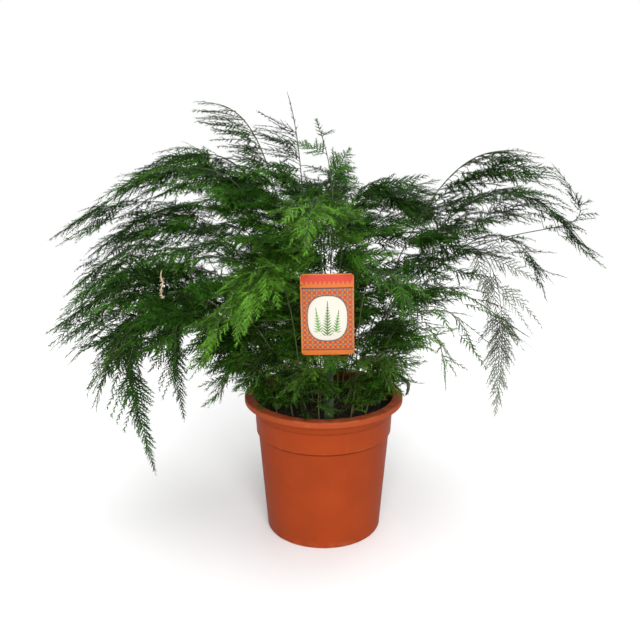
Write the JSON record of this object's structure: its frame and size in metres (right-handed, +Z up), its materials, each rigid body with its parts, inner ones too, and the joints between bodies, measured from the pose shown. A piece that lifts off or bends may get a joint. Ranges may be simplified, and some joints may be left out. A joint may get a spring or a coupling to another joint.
{
  "type": "potted asparagus fern",
  "caption": "Feathery asparagus fern with wiry arching stems, standing in soil in a tapered nursery pot with a stick-in plant label.",
  "frame": {"origin": "centre of the pot's base, on its underside", "axes": "+Z up, along the pot's axis; +X to the right as seen from the front, along the plant's widest spread; the label faces -Y"},
  "size_m": [0.7149, 0.4786, 0.573],
  "materials": {
    "pot": "terracotta-coloured moulded plastic, satin",
    "soil": "moist dark peat with coarse fibres",
    "label": "printed plastic card, satin",
    "foliage_deep": "deep green living stems and needles",
    "foliage_fresh": "fresh yellow-green living stems and needles",
    "foliage_grey": "thin grey-green living stems and needles",
    "shoot": "dark grey-green young shoot"
  },
  "bodies": {
    "root": {"plant_label": "label", "pot": "pot", "soil": "soil", "stem_back": "foliage_deep", "stem_back_left": "foliage_deep", "stem_back_low_left": "foliage_deep", "stem_back_low_right": "foliage_deep", "stem_back_right": "foliage_deep", "stem_front": "foliage_fresh", "stem_front_far_left": "foliage_fresh", "stem_front_far_right": "foliage_deep", "stem_front_left": "foliage_fresh", "stem_front_right": "foliage_deep", "stem_left_droop": "foliage_deep", "stem_left_hang_front": "foliage_deep", "stem_left_hang_rear": "foliage_deep", "stem_left_high": "foliage_deep", "stem_left_lowest": "foliage_deep", "stem_left_mid": "foliage_deep", "stem_left_rear": "foliage_deep", "stem_left_top": "foliage_deep", "stem_left_top_rear": "foliage_deep", "stem_low_left": "foliage_deep", "stem_low_mid": "foliage_fresh", "stem_low_right": "foliage_fresh", "stem_low_rim_left": "foliage_deep", "stem_peak": "foliage_deep", "stem_peak_left": "foliage_deep", "stem_peak_rear": "foliage_deep", "stem_right_drop": "foliage_fresh", "stem_right_far": "foliage_deep", "stem_right_hang": "foliage_grey", "stem_right_high": "foliage_deep", "stem_right_low": "foliage_deep", "stem_right_low_front": "foliage_deep", "stem_right_mid": "foliage_deep", "stem_shoulder": "foliage_deep", "young_shoot": "shoot"}
  },
  "joints": []
}
